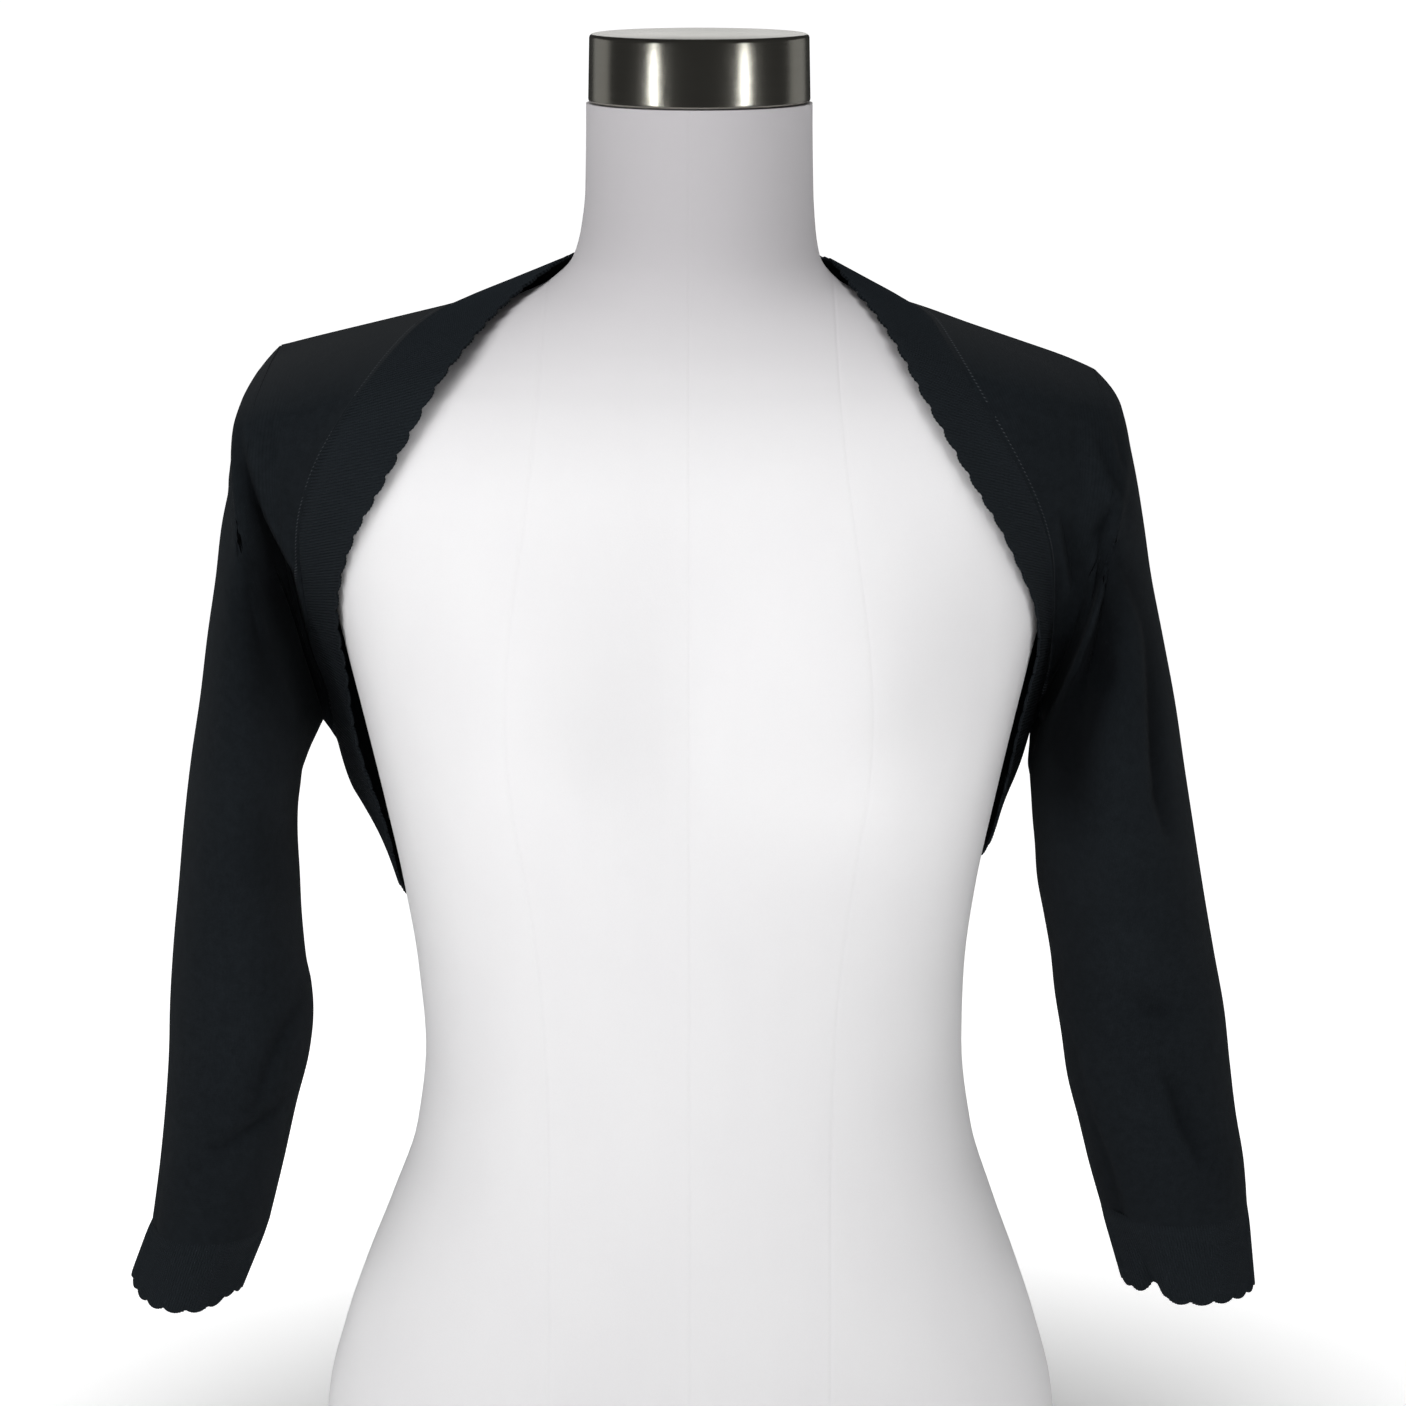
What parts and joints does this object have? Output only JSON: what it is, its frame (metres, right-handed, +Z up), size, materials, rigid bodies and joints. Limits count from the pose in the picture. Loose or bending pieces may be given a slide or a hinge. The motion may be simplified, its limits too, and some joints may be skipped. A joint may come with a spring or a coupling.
{
  "type": "knitted shrug on a dress form",
  "caption": "Short open knitted shrug with three-quarter sleeves and a scalloped ribbed band all round its opening, worn by a limbless dress form with a metal neck cap.",
  "frame": {"origin": "on the underside of the base board, below the middle of the form's waist, where the form stands", "axes": "+X to the right as one faces the front, -Y out of the front of the form, +Z up along the form"},
  "size_m": [0.514, 0.2286, 0.687],
  "materials": {
    "black_knit": "fine plain knit, matte, near black",
    "black_rib": "fine rib knit, matte, near black",
    "white_jersey": "smooth cotton jersey, cool white",
    "brushed_steel": "brushed round the cap, warm grey",
    "painted_board": "painted off-white"
  },
  "bodies": {
    "root": {"form_torso": "white_jersey", "base_board": "painted_board", "neck_cap": "brushed_steel", "back_panel": "black_knit", "front_left": "black_knit", "front_right": "black_knit", "sleeve_left": "black_knit", "sleeve_right": "black_knit", "cuff_left": "black_rib", "cuff_right": "black_rib", "ribbed_band": "black_rib"}
  },
  "joints": []
}
